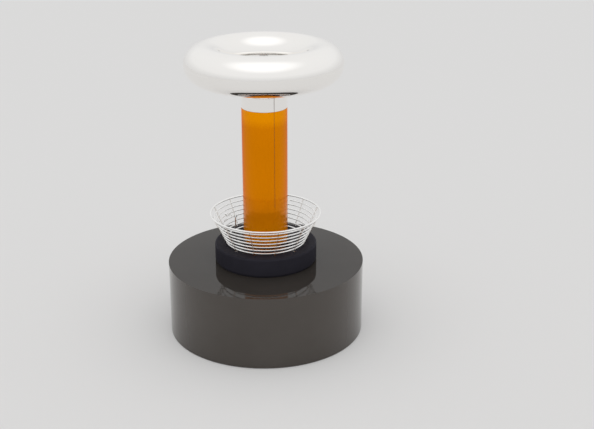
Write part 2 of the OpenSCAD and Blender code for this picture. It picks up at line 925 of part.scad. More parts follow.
module tube_socket() color("#2a2a2c") {
    translate([0, 0, base_z]) {
        difference() {
            union() {
                cylinder(r = socket_r, h = socket_t, $fn = fine);
                ring(tube_r + fit, tube_r + socket_wall, socket_h);
            }
            translate([0, 0, -cut]) cylinder(r = top_hole_r, h = socket_t + 2 * cut, $fn = plain);
            earth_hole(-cut, socket_t + 2 * cut);
        }
        for (i = [0 : socket_bolts - 1])
            at_az((i + 0.5) * 360 / socket_bolts, socket_bolt_ring, socket_t)
                cylinder(r = socket_bolt_r, h = socket_bolt_h, $fn = plain);
    }
}

module tube_collar() color("#1b1a1d") {
    translate([0, 0, base_top]) rotate_extrude($fn = fine) polygon([
        [tube_r + fit, 0], [tube_r + collar_w, 0], [tube_r + collar_w, collar_h - collar_round],
        [tube_r + collar_w - collar_round, collar_h], [tube_r + fit, collar_h]
    ]);
}

// Secondary

module secondary_tube() color("#dfe6e6") {
    translate([0, 0, tube_z]) ring(tube_r - tube_t, tube_r, tube_top - tube_z);
}

module secondary_winding() color("#cf7f00") {
    translate([0, 0, wind_z]) ring(wind_in, wind_r, winding_l);
}

module earth_lead() color("#3a2a20") {
    low = tray_z + ground_up + ground_t;
    at_az(earth_az, earth_r, low) cylinder(r = lead_r, h = wind_z + lead_low - low, $fn = plain);
    at_az(earth_az, wind_r + run, wind_z + lead_low - 2 * lead_r)
        radial_rod(lead_end_r, earth_r - wind_r - run);
}

module end_cap() color("#dcdcda") {
    translate([0, 0, tube_top]) cylinder(r = wind_r + cap_over, h = cap_t, $fn = fine);
    translate([0, 0, tube_top - cap_spigot])
        ring(tube_r - tube_t - fit - cap_spigot_t, tube_r - tube_t - fit, cap_spigot + cut);
    translate([0, 0, tube_top - bare_top + skirt_gap]) ring(wind_in, wind_r, bare_top - skirt_gap + cut);
}

module lead_terminal() color("#2c2622") {
    at_az(lead_az, wind_r - term_inset, cap_top) {
        cylinder(r = term_r / 2, h = term_neck + cut, $fn = plain);
        translate([0, 0, term_neck]) cylinder(r = term_r, h = term_h - term_neck, $fn = plain);
    }
}

module winding_lead() color("#3a2a20") {
    at_az(lead_az, lead_out, wind_z + winding_l - lead_low)
        cylinder(r = lead_r, h = cap_top + 2 * lead_r - wind_z - winding_l + lead_low, $fn = plain);
    at_az(lead_az, wind_r - term_inset + term_r / 2 + run, cap_top + lead_r)
        radial_rod(lead_end_r, lead_out - wind_r + term_inset - term_r / 2 - run);
    at_az(lead_az, wind_r + run, wind_z + winding_l - lead_low + 2 * lead_r)
        radial_rod(lead_end_r, lead_out - wind_r - run);
}

// Primary coil as one unbroken tube along its path

function unit(v) = v / norm(v);
coil_last = len(coil_points) - 1;
function path_way(i) =
    unit(coil_points[min(i + 1, coil_last)] - coil_points[max(i - 1, 0)]);
function ring_points(i) =
    let (
        out = unit([coil_points[i].x, coil_points[i].y, 0]),
        way = path_way(i),
        up = unit(cross(out, way)),
        away = unit(cross(way, up))
    )
    [
        for (k = [0 : coil_sides - 1])
            coil_points[i] + coil_tube_r * (cos(k * 360 / coil_sides) * away + sin(k * 360 / coil_sides) * up)
    ];
coil_mesh_points = [for (i = [0 : coil_last], p = ring_points(i)) p];
coil_mesh_faces = concat(
    [for (k = [1 : coil_sides - 2]) [0, k + 1, k]],
    [
        for (i = [0 : coil_last - 1], k = [0 : coil_sides - 1], h = [0, 1])
            let (a = i * coil_sides, b = a + coil_sides, n = (k + 1) % coil_sides)
                h == 0 ? [a + k, a + n, b + n] : [a + k, b + n, b + k]
    ],
    [for (k = [1 : coil_sides - 2]) let (a = coil_last * coil_sides) [a, a + k, a + k + 1]]
);

// Least gap between one turn and the next, measured on the points of the tube
turn_points = rings_per_turn * coil_sides;
coil_gap = min([
    for (i = [coil_sides : len(coil_mesh_points) - turn_points - coil_sides - 1])
        min([
            for (j = [-coil_sides : coil_sides])
                norm(coil_mesh_points[i] - coil_mesh_points[i + turn_points + j])
        ])
]);
echo(least_gap_between_turns_mm = coil_gap);

module primary_coil() color("#d9d9da") {
    polyhedron(points = coil_mesh_points, faces = coil_mesh_faces, convexity = 10);
}

// Radial plane of a rib: x outward, y up
function rib_line(a, up, out) = [
    turn_r(a) + slope.x * up + side.x * out, turn_z(a) + slope.y * up + side.y * out
];

module support_rib(az) {
    a = (az - step_to + 360) % 360;
    top_up = slope_l * (coil_turns - level(a));
    rotate([0, 0, az]) rotate([90, 0, 0]) translate([0, 0, -rib_t / 2]) linear_extrude(rib_t)
        difference() {
            union() {
                polygon([
                    rib_line(a, -slope_l / 3, rib_seat), rib_line(a, top_up, rib_seat),
                    rib_line(a, top_up, rib_seat + rib_w), rib_line(a, -slope_l / 3, rib_seat + rib_w)
                ]);
                polygon([
                    [rib_foot_in, base_top], [coil_r + rib_seat + rib_w, base_top],
                    rib_line(a, -slope_l / 5, rib_seat + rib_w), rib_line(a, -slope_l / 5, rib_seat),
                    [coil_r - coil_dr / 2, base_top + rib_foot_h], [rib_foot_in, base_top + rib_foot_h]
                ]);
            }
            for (i = [0 : coil_turns]) translate([turn_r(a + 360 * i), turn_z(a + 360 * i)])
                circle(r = coil_tube_r + fit, $fn = plain);
            translate([strike_r, strike_z]) circle(r = strike_tube_r + fit, $fn = plain);
            translate([0, base_top - coil_r]) square([plinth_r, coil_r]);
        }
}

module support_ribs() color("#e8e8e6") {
    for (i = [0 : rib_count - 1]) support_rib(rib_first + i * rib_step);
}

module rib_clamp_ring() color("#d4d4d2") {
    translate([0, 0, base_top + rib_foot_h])
        ring(rib_foot_in + fit, rib_foot_in + clamp_w, clamp_t);
    for (i = [0 : rib_count - 1])
        at_az(rib_first + i * rib_step, rib_foot_in + clamp_w / 2, base_top + rib_foot_h + clamp_t)
            translate([0, 0, -clamp_t / 2])
                cylinder(r = clamp_screw_r, h = clamp_t / 2 + clamp_screw_h, $fn = plain);
}

// Feed, tap and strike ring

module feed_terminals() color("#b5903d") {
    at_feeds(base_top) cylinder(r = feed_pillar_r, h = coil_lift - feed_block / 2 + cut, $fn = plain);
    translate([feed_start.x, feed_start.y, coil_z - feed_block / 2]) rotate([0, 0, step_to])
        block([feed_block, feed_block, feed_block]);
    at_az(tap_az, feed_in, coil_z - feed_block / 2) cylinder(r = feed_pillar_r, h = feed_block / 2, $fn = plain);
}

tap_a = (tap_az - step_to + 360) % 360 + 360 * tap_turn;

module tap_clamp() color("#b5903d") {
    at_az(tap_az, turn_r(tap_a), turn_z(tap_a)) difference() {
        union() {
            span_box(
                [-tap_block / 2, -tap_block / 2, -tap_block / 2], [tap_block / 2, tap_block / 2, tap_block / 2]
            );
            span_box(
                [feed_in - turn_r(tap_a) - tap_block / 2, -tap_block / 2, -tap_bar_t / 2],
                [0, tap_block / 2, tap_bar_t / 2]
            );
        }
        translate([0, tap_block, 0]) rotate([90, 0, 0])
            cylinder(r = tap_bore_r, h = 2 * tap_block, $fn = plain);
    }
}

module tap_lead() color("#8c5a33") {
    at_az(tap_az, feed_in, base_top + coil_lift)
        cylinder(r = tap_lead_r, h = turn_z(tap_a) - tap_bar_t / 2 - base_top - coil_lift, $fn = plain);
}

module strike_ring() color("#dcdcdc") {
    rotate([0, 0, door_mid + strike_gap_angle / 2]) rotate_extrude(angle = 360 - strike_gap_angle, $fn = fine)
        translate([strike_r, strike_z]) circle(r = strike_tube_r, $fn = plain);
}

module strike_joiner() color("#c9c9c4") {
    rotate([0, 0, door_mid - strike_gap_angle / 2]) rotate_extrude(angle = strike_gap_angle, $fn = fine)
        translate([strike_r, strike_z]) circle(r = strike_tube_r, $fn = plain);
}

module strike_lead() color("#8c5a33") {
    at_az(strike_lead_az, strike_r, base_z) {
        cylinder(r = strike_lead_r, h = strike_z - strike_tube_r - fit - base_z, $fn = plain);
        cylinder(r = strike_foot_r, h = strike_foot_h, $fn = plain);
    }
}

// Toroid and its carrier

module toroid_post() color("#c9cacb") {
    translate([0, 0, cap_top]) difference() {
        union() {
            cylinder(r = post_r, h = plate_z - cap_top, $fn = plain);
            cylinder(r = flange_r, h = flange_t, $fn = plain);
            translate([0, 0, plate_z - cap_top - flange_t]) cylinder(r = flange_r, h = flange_t, $fn = plain);
        }
        translate([0, 0, flange_t]) cylinder(r = post_r - post_wall, h = plate_z - cap_top, $fn = plain);
    }
}

// Half of the oval section, from the inner to the outer seam
function oval(a, b, way) = [
    for (i = [0 : toroid_points]) let (t = 180 * i / toroid_points) [toroid_r - a * cos(t), way * b * sin(t)]
];
function reversed(list) = [for (i = [len(list) - 1 : -1 : 0]) list[i]];

module toroid_half(way) {
    translate([0, 0, toroid_z]) rotate_extrude($fn = fine) polygon(concat(
        oval(toroid_a, toroid_b, way), reversed(oval(toroid_a - toroid_t, toroid_b - toroid_t, way))
    ));
}

module toroid_lower() color("#e2e2e0") toroid_half(-1);

module toroid_upper() color("#e6e6e4") toroid_half(1);

module centre_plate() color("#d2d2d0") {
    translate([0, 0, plate_z]) ring(plate_r - plate_rim, plate_r, plate_t);
    translate([0, 0, plate_z - plate_skirt + plate_t]) ring(plate_r - plate_t, plate_r, plate_skirt);
    translate([0, 0, plate_z]) cylinder(r = hub_r, h = hub_t, $fn = fine);
    for (i = [0 : spokes - 1]) rotate([0, 0, (i + 1 / 2) * 360 / spokes]) span_box(
        [hub_r - spoke_in, -spoke_w / 2, plate_z + plate_t - spoke_h],
        [plate_r - plate_t / 2, spoke_w / 2, plate_z + plate_t]
    );
}

glide_feet();
floor_panel();
wall_front();
wall_rear_right();
wall_rear_left();
top_panel();
support_posts();
door_panel();
hinge_wall_leaf();
hinge_door_leaf();
hinge_pin();
lock_barrel();
lock_cam();
lock_strike();
connection_pan();
isolator_body();
isolator_handle();
breaker_body();
breaker_toggle();
cable_glands();
fan_mount();
fan_frame();
fan_rotor();
fan_guard();
equipment_tray();
mains_filter();
contactor();
rectifier();
bus_capacitors();
heatsink();
power_modules();
driver_board();
tank_board();
tank_capacitors();
feed_bars();
control_unit();
ground_bar();
base_housing();
base_foot_ring();
tube_socket();
tube_collar();
secondary_tube();
secondary_winding();
earth_lead();
primary_coil();
support_ribs();
rib_clamp_ring();
feed_terminals();
tap_clamp();
tap_lead();
strike_ring();
strike_joiner();
strike_lead();
end_cap();
lead_terminal();
winding_lead();
toroid_post();
toroid_lower();
toroid_upper();
centre_plate();
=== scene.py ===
import json
import math

import bpy
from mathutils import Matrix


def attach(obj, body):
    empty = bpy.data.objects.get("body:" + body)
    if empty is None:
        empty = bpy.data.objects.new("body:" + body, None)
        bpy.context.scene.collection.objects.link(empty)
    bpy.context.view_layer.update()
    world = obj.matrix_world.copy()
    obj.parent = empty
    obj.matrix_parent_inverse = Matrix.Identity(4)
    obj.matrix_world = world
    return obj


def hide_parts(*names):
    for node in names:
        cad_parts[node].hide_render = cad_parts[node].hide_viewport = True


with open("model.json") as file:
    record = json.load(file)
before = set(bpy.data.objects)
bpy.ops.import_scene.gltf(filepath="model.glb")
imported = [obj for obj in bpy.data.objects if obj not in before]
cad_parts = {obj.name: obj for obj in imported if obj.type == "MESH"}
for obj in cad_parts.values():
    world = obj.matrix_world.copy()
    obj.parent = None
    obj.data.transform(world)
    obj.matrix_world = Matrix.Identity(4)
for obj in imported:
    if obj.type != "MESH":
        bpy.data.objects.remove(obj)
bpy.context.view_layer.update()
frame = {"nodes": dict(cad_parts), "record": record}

MM = 0.001
TURN = 2 * math.pi

# Sizes in millimetres, as the frame has them
TUBE_R, TUBE_TOP = 157.5, 1744
WIND_R, WIND_FOOT, WIND_TOP = 158.6, 675, 1652
CAP_R, CAP_TOP = 161.6, 1753
FIT = 0.1
LEAD_AZ, LEAD_R, LEAD_FOOT = -63.5, 0.85, 962
COIL_R, COIL_Z, COIL_STEP_OUT, COIL_STEP_UP = 284, 675, 13.3, 29.3
COIL_TUBE, COIL_SWEEP, COIL_START, COIL_CLIMB, COIL_TAIL = 5.5, 2460, 120, 60, 11
STRIKE_R, STRIKE_Z, STRIKE_TUBE, STRIKE_START, STRIKE_SWEEP = 390.6, 877, 7, 92, 356
RING_R, RING_A, RING_B, RING_Z = 399, 147, 134, 1956
SEAM_HALF, SEAM_DEPTH, SEAM_INSET = 0.5, 0.6, 0.01
PLATE_R, PLATE_TOP, PLATE_SHEET, PLATE_SKIRT, PLATE_RIM = 252.7, 1938, 3, 30, 15.6
HUB_R, HUB_T, SPOKES, SPOKE_W, SPOKE_H = 75, 12, 8, 10, 14
SCREWS, SCREW_CIRCLE = 6, 46

# Broken edges: thin shell panels, and everything else
SHELL_EDGE, EDGE = 0.25, 0.6
EDGE_ANGLE = 32


# Hand tools: selection, edit mode and modifiers

def only(*pieces):
    bpy.ops.object.select_all(action="DESELECT")
    for piece in pieces:
        piece.select_set(True)
    bpy.context.view_layer.objects.active = pieces[-1]


def settled(name):
    piece = bpy.context.object
    piece.name = piece.data.name = name
    bpy.ops.object.transform_apply(location=True, rotation=True, scale=True)
    return piece


def pick(piece, faces=None, points=None):
    """Opens edit mode with the faces or points chosen by a test of their place."""
    only(piece)
    mesh = piece.data
    for group in (mesh.vertices, mesh.edges, mesh.polygons):
        group.foreach_set("select", [False] * len(group))
    if faces:
        for face in mesh.polygons:
            face.select = faces(face.center, face.normal)
    if points:
        for point in mesh.vertices:
            point.select = points(point.co)
    bpy.context.tool_settings.mesh_select_mode = (bool(points), False, not points)
    bpy.ops.object.mode_set(mode="EDIT")


def pick_all(piece):
    only(piece)
    bpy.ops.object.mode_set(mode="EDIT")
    bpy.ops.mesh.select_all(action="SELECT")


def done():
    bpy.ops.object.mode_set(mode="OBJECT")


def weld(piece):
    pick_all(piece)
    bpy.ops.mesh.remove_doubles(threshold=0.01 * MM)
    bpy.ops.mesh.normals_make_consistent(inside=False)
    done()


def modify(piece, kind, **settings):
    only(piece)
    step = piece.modifiers.new(kind.lower(), kind)
    for key, value in settings.items():
        setattr(step, key, value)
    bpy.ops.object.modifier_apply(modifier=step.name)


def rounded(piece, width):
    modify(
        piece, "BEVEL", width=width * MM, segments=2, limit_method="ANGLE",
        angle_limit=math.radians(EDGE_ANGLE), miter_outer="MITER_ARC",
    )


def smooth(piece, angle=34):
    only(piece)
    bpy.ops.object.shade_smooth_by_angle(angle=math.radians(angle))


def fitted(piece, finish, body="cabinet", stands_for=()):
    piece.data.materials.clear()
    piece.data.materials.append(finish)
    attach(piece, body)
    if stands_for:
        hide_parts(*stands_for)
    return piece


def turned(name, profile, steps):
    """A lathe: the profile, (radius, height) in mm, is drawn point by point and spun upright."""
    bpy.ops.object.select_all(action="DESELECT")
    first = profile[0]
    bpy.ops.mesh.primitive_plane_add(size=MM, location=(first[0] * MM, 0, first[1] * MM))
    piece = settled(name)
    pick(piece, points=lambda p: True)
    bpy.ops.mesh.merge(type="CENTER")
    at = first
    for point in profile[1:]:
        bpy.ops.mesh.extrude_region_move(TRANSFORM_OT_translate={
            "value": ((point[0] - at[0]) * MM, 0, (point[1] - at[1]) * MM)
        })
        at = point
    bpy.ops.mesh.select_all(action="SELECT")
    bpy.ops.mesh.spin(steps=steps, angle=TURN, center=(0, 0, 0), axis=(0, 0, 1))
    done()
    weld(piece)
    return piece


def closed(profile):
    return [*profile, profile[0]]


def wire(name, points, radius, sides, kind="POLY"):
    """A round wire or tube along points in mm."""
    curve = bpy.data.curves.new(name, "CURVE")
    curve.dimensions = "3D"
    spline = curve.splines.new(kind)
    spline.points.add(len(points) - 1)
    for knot, point in zip(spline.points, points):
        knot.co = (point[0] * MM, point[1] * MM, point[2] * MM, 1)
    if kind == "NURBS":
        spline.order_u = 3
        spline.use_endpoint_u = True
        spline.resolution_u = 4
    curve.bevel_depth = radius * MM
    curve.bevel_resolution = sides // 2 - 2
    curve.use_fill_caps = True
    piece = bpy.data.objects.new(name, curve)
    bpy.context.collection.objects.link(piece)
    only(piece)
    bpy.ops.object.convert(target="MESH")
    weld(piece)
    smooth(piece, 50)
    return piece


def joined(name, pieces):
    only(*pieces)
    bpy.ops.object.join()
    piece = bpy.context.object
    piece.name = piece.data.name = name
    return piece


def ring_of(piece, count, first=0.0):
    """Copies of a piece round the upright axis; the piece itself stands at azimuth 0 and is used up."""
    made = []
    for i in range(count):
        twin = piece.copy()
        twin.data = piece.data.copy()
        bpy.context.collection.objects.link(twin)
        twin.rotation_euler.z = math.radians(first + i * 360 / count)
        only(twin)
        bpy.ops.object.transform_apply(location=False, rotation=True, scale=False)
        made.append(twin)
    bpy.data.objects.remove(piece)
    return made


def polar(az, r, z):
    a = math.radians(az)
    return (r * math.cos(a), r * math.sin(a), z)


# Finishes

def node(tree, kind, **values):
    made = tree.nodes.new(kind)
    for key, value in values.items():
        if hasattr(made, key):
            setattr(made, key, value)
        else:
            made.inputs[key.replace("_", " ")].default_value = value
    return made


def join(tree, out, into):
    tree.links.new(out, into)


def noise(tree, scale, stretch=(1, 1, 1), detail=3):
    where = node(tree, "ShaderNodeTexCoord")
    mapped = node(tree, "ShaderNodeMapping", Scale=stretch)
    join(tree, where.outputs["Object"], mapped.inputs["Vector"])
    made = node(tree, "ShaderNodeTexNoise", Scale=scale, Detail=detail, Roughness=0.55)
    join(tree, mapped.outputs["Vector"], made.inputs["Vector"])
    return made.outputs["Fac"]


def spread(tree, value, low, high, from_low=0.3, from_high=0.7):
    made = node(tree, "ShaderNodeMapRange", From_Min=from_low, From_Max=from_high, To_Min=low, To_Max=high)
    join(tree, value, made.inputs["Value"])
    return made.outputs["Result"]


def tones(tree, value, *stops):
    made = node(tree, "ShaderNodeValToRGB")
    ramp = made.color_ramp
    while len(ramp.elements) < len(stops):
        ramp.elements.new(0.5)
    for element, (at, colour) in zip(ramp.elements, stops):
        element.position = at
        element.color = (*colour, 1)
    join(tree, value, made.inputs["Fac"])
    return made.outputs["Color"]


def blend(tree, first, second, share, kind="MIX"):
    """Two colours, plain or from outputs, mixed by the share of the second."""
    mix = node(tree, "ShaderNodeMix", data_type="RGBA", blend_type=kind)
    pair = [socket for socket in mix.inputs if socket.type == "RGBA"]
    for socket, value in zip(pair, (first, second)):
        if isinstance(value, tuple):
            socket.default_value = value
        else:
            join(tree, value, socket)
    join(tree, share, mix.inputs[0])
    return [socket for socket in mix.outputs if socket.type == "RGBA"][0]


def bumped(tree, shader, height, strength, distance):
    made = node(tree, "ShaderNodeBump", Strength=strength, Distance=distance)
    join(tree, height, made.inputs["Height"])
    join(tree, made.outputs["Normal"], shader.inputs["Normal"])


def surface(name, rough, metal, patch, stretch, **more):
    """A material whose sheen drifts; the rest is set by the finish that asks for it."""
    made = bpy.data.materials.new(name)
    made.use_nodes = True
    tree = made.node_tree
    shader = tree.nodes["Principled BSDF"]
    shader.inputs["Metallic"].default_value = metal
    for key, value in more.items():
        shader.inputs[key.replace("_", " ")].default_value = value
    sheen = noise(tree, patch * 3.1, stretch, 4)
    join(tree, spread(tree, sheen, *rough), shader.inputs["Roughness"])
    return made, tree, shader


def finish(
    name, dark, light, rough, metal=0.0, patch=9, stretch=(1, 1, 1), grain=(400, 0.05, 0.0004), **more
):
    """A surface whose tone and sheen drift, with a fine grain in its relief."""
    made, tree, shader = surface(name, rough, metal, patch, stretch, **more)
    drift = noise(tree, patch, stretch)
    join(tree, tones(tree, drift, (0.3, dark), (0.7, light)), shader.inputs["Base Color"])
    scale, strength, depth = grain
    bumped(tree, shader, noise(tree, scale, stretch, 2), strength, depth)
    return made


lacquer = finish(
    "plinth_lacquer", (0.048, 0.041, 0.036), (0.057, 0.049, 0.044), (0.10, 0.14), patch=2.5,
    grain=(90, 0.015, 0.0008), Coat_Weight=0.35, Coat_Roughness=0.02, Coat_IOR=1.5, IOR=1.5,
    Specular_Tint=(1.0, 0.94, 0.86, 1.0),
)
# Painted shade: the top face gets a copy of the lacquer with a darker base colour than the walls, for the
# face that takes the overhead light.
top_lacquer = finish(
    "plinth_top_lacquer", (0.040, 0.035, 0.031), (0.046, 0.041, 0.037), (0.025, 0.045), patch=2.5,
    grain=(90, 0.004, 0.0005), IOR=1.285,
)
plywood = finish(
    "inner_plywood", (0.38, 0.25, 0.135), (0.56, 0.40, 0.235), (0.5, 0.65), patch=14, stretch=(1, 1, 9),
    grain=(160, 0.15, 0.0006),
)
rubber = finish(
    "foot_rubber", (0.012, 0.012, 0.013), (0.026, 0.026, 0.028), (0.6, 0.8), patch=30,
    grain=(500, 0.25, 0.0004),
)
steel = finish(
    "plated_steel", (0.50, 0.51, 0.53), (0.66, 0.66, 0.64), (0.24, 0.38), 1.0, patch=26,
    grain=(300, 0.06, 0.0003),
)
grey_paint = finish(
    "grey_paint", (0.19, 0.20, 0.21), (0.23, 0.24, 0.25), (0.38, 0.48), patch=8, grain=(700, 0.20, 0.0005),
)
black_moulding = finish(
    "black_moulding", (0.018, 0.019, 0.021), (0.028, 0.029, 0.032), (0.38, 0.52), patch=20,
    grain=(900, 0.22, 0.0004),
)
red_moulding = finish(
    "red_moulding", (0.42, 0.022, 0.014), (0.50, 0.032, 0.020), (0.28, 0.36), patch=20,
    grain=(900, 0.10, 0.0003),
)
pale_moulding = finish(
    "pale_moulding", (0.62, 0.61, 0.57), (0.70, 0.69, 0.65), (0.34, 0.44), patch=18,
    grain=(900, 0.12, 0.0003),
)
bare_aluminium = finish(
    "bare_aluminium", (0.70, 0.71, 0.72), (0.83, 0.83, 0.83), (0.22, 0.36), 1.0, patch=22,
    stretch=(1, 1, 12), grain=(260, 0.08, 0.0003),
)
circuit_board = finish(
    "circuit_board", (0.012, 0.085, 0.036), (0.020, 0.125, 0.055), (0.26, 0.38), patch=60,
    grain=(350, 0.12, 0.0004),
)
laminate = finish(
    "laminate", (0.52, 0.44, 0.28), (0.62, 0.54, 0.36), (0.35, 0.5), patch=40, grain=(700, 0.2, 0.0003),
)
copper = finish(
    "copper", (0.72, 0.30, 0.16), (0.86, 0.42, 0.24), (0.20, 0.34), 1.0, patch=24, grain=(300, 0.06, 0.0003),
)
brass = finish(
    "brass", (0.66, 0.46, 0.17), (0.82, 0.60, 0.26), (0.18, 0.32), 1.0, patch=24, grain=(300, 0.06, 0.0003),
)
base_black = finish(
    "base_black", (0.0285, 0.0273, 0.0355), (0.0335, 0.0320, 0.0420), (0.40, 0.50), patch=7,
    grain=(500, 0.08, 0.0004), Specular_IOR_Level=0.02,
)
clear_acrylic = finish(
    "clear_acrylic", (0.80, 0.77, 0.74), (0.86, 0.83, 0.80), (0.04, 0.08), patch=6, grain=(60, 0.01, 0.0005),
    Transmission_Weight=1.0, IOR=1.15,
)
lead_finish = finish(
    "lead_wire", (0.120, 0.052, 0.016), (0.170, 0.075, 0.022), (0.30, 0.42), patch=60,
    grain=(900, 0.1, 0.0002),
)
bright_tube = finish(
    "coil_tube", (0.90, 0.895, 0.885), (0.97, 0.965, 0.955), (0.04, 0.08), 1.0, patch=14,
    grain=(500, 0.02, 0.0002),
)
white_insulator = finish(
    "white_insulator", (0.74, 0.735, 0.71), (0.82, 0.81, 0.79), (0.28, 0.36), patch=12,
    grain=(700, 0.08, 0.0003),
)
mirror = finish(
    "polished_toroid", (0.960, 0.943, 0.918), (0.978, 0.964, 0.942), (0.03, 0.05), 1.0, patch=3,
    grain=(14, 0.01, 0.0008),
)
brushed_plate = finish(
    "brushed_plate", (0.60, 0.585, 0.565), (0.66, 0.645, 0.625), (0.20, 0.28), 1.0, patch=9,
    grain=(300, 0.05, 0.0003),
)
blasted_disc = finish(
    "blasted_disc", (0.72, 0.70, 0.68), (0.78, 0.76, 0.74), (0.50, 0.60), 0.7, patch=9,
    grain=(500, 0.10, 0.0003),
)
polished_cap = finish(
    "polished_cap", (0.95, 0.935, 0.91), (0.975, 0.96, 0.94), (0.05, 0.10), 1.0, patch=5,
    stretch=(1, 1, 0.2), grain=(22, 0.02, 0.0008),
)


def enamelled_wire():
    """Close-wound enamelled wire: fine turns in its relief, and a base colour brighter near both ends, which
    is painted light.
    """
    made, tree, shader = surface(
        "enamelled_wire", (0.09, 0.13), 0.6, 3, (2.2, 2.2, 0.25), IOR=1.5,
        Specular_Tint=(1.0, 0.42, 0.05, 1.0),
    )
    where = node(tree, "ShaderNodeTexCoord")
    split = node(tree, "ShaderNodeSeparateXYZ")
    join(tree, where.outputs["Object"], split.inputs["Vector"])
    height = spread(tree, split.outputs["Z"], 0.0, 1.0, WIND_FOOT * MM, WIND_TOP * MM)
    # Painted light: the tone is brighter near the foot and in a band at the top, standing in for how the
    # light falls on the winding, and darker between.
    tone = tones(
        tree, height, (0.0, (1.0, 0.33, 0.0)), (0.09, (1.0, 0.32, 0.0)), (0.20, (0.86, 0.262, 0.0)),
        (0.88, (0.83, 0.250, 0.0)), (0.94, (1.0, 0.34, 0.0)), (1.0, (1.0, 0.35, 0.0)),
    )
    join(tree, spread(tree, height, 0.04, 0.6, 0.16, 0.40), shader.inputs["Metallic"])
    drift = noise(tree, 3, (1, 1, 0.3))
    mottle = tones(tree, drift, (0.3, (0.96, 0.95, 0.95)), (0.7, (1.0, 1.0, 1.0)))
    shaded = blend(tree, tone, mottle, spread(tree, drift, 0.9, 1.0), "MULTIPLY")
    join(tree, shaded, shader.inputs["Base Color"])
    turns = node(
        tree, "ShaderNodeTexWave", wave_type="BANDS", bands_direction="Z", Scale=180, Distortion=0.15,
    )
    join(tree, where.outputs["Object"], turns.inputs["Vector"])
    bumped(tree, shader, turns.outputs["Fac"], 0.10, 0.0002)
    return made


winding_finish = enamelled_wire()

SLOTS = {
    "plinth_lacquer": lacquer, "inner_plywood": plywood, "foot_rubber": rubber, "plated_steel": steel,
    "grey_paint": grey_paint, "black_moulding": black_moulding, "red_moulding": red_moulding,
    "pale_moulding": pale_moulding, "bare_aluminium": bare_aluminium, "circuit_board": circuit_board,
    "laminate": laminate, "copper": copper, "brass": brass, "base_black": base_black,
    "clear_acrylic": clear_acrylic, "enamelled_wire": winding_finish, "lead_wire": lead_finish,
    "coil_tube": bright_tube, "white_insulator": white_insulator, "polished_toroid": mirror,
}
slot_of = {part["node"]: part["material_slot"] for part in frame["record"]["subparts"]}
body_of = {n: b for b, members in frame["record"]["behaviour"]["bodies"].items() for n in members}


def dressed(part, edge):
    """A finished copy of a CAD node: welded, its flats cleaned, its edges broken, its curves smooth."""
    piece = bpy.data.objects.new(part + "_finished", frame["nodes"][part].data.copy())
    bpy.context.collection.objects.link(piece)
    pick_all(piece)
    bpy.ops.mesh.remove_doubles(threshold=0.001 * MM)
    bpy.ops.mesh.dissolve_limited(angle_limit=math.radians(0.6))
    done()
    rounded(piece, edge)
    smooth(piece)
    modify(piece, "WEIGHTED_NORMAL", mode="FACE_AREA", weight=50, keep_sharp=True)
    slot = slot_of[part]
    return fitted(piece, SLOTS[slot], body_of[part], (part,))


def top_of_plinth(panel):
    """The panel's upper face has a smoother lacquer than its edge, with a darker base colour as painted
    shade.
    """
    panel.data.materials.append(top_lacquer)
    pick(panel, faces=lambda at, normal: normal.z > 0.9)
    panel.active_material_index = 1
    bpy.ops.object.material_slot_assign()
    done()


# Stage, lamp and camera

BACKDROP = (0.693, 0.693, 0.693, 1)
FLOOR_SHARE = 0.22
SOFTBOX_TILT = math.radians(12)


def seen_directly(tree):
    """1 for what the camera sees straight on or through clear material, else 0."""
    seen = node(tree, "ShaderNodeLightPath")
    either = node(tree, "ShaderNodeMath", operation="MAXIMUM")
    join(tree, seen.outputs["Is Camera Ray"], either.inputs[0])
    join(tree, seen.outputs["Is Transmission Ray"], either.inputs[1])
    return either.outputs[0], seen.outputs["Is Glossy Ray"]


def pale_floor():
    bpy.ops.object.select_all(action="DESELECT")
    bpy.ops.mesh.primitive_circle_add(vertices=96, radius=45, fill_type="NGON", location=(0, 0, 0))
    floor = settled("floor")
    paint = bpy.data.materials.new("pale_floor")
    paint.use_nodes = True
    tree = paint.node_tree
    matte = tree.nodes["Principled BSDF"]
    matte.inputs["Base Color"].default_value = (0.79, 0.785, 0.78, 1)
    matte.inputs["Roughness"].default_value = 0.9
    matte.inputs["Specular IOR Level"].default_value = 0.0
    pale = node(tree, "ShaderNodeEmission", Color=BACKDROP, Strength=1.0)
    share = node(tree, "ShaderNodeMath", operation="MULTIPLY")
    share.inputs[1].default_value = FLOOR_SHARE
    direct, _ = seen_directly(tree)
    join(tree, direct, share.inputs[0])
    mixed = node(tree, "ShaderNodeMixShader")
    join(tree, share.outputs[0], mixed.inputs["Fac"])
    join(tree, matte.outputs["BSDF"], mixed.inputs[1])
    join(tree, pale.outputs["Emission"], mixed.inputs[2])
    join(tree, mixed.outputs["Shader"], tree.nodes["Material Output"].inputs["Surface"])
    floor.data.materials.append(paint)


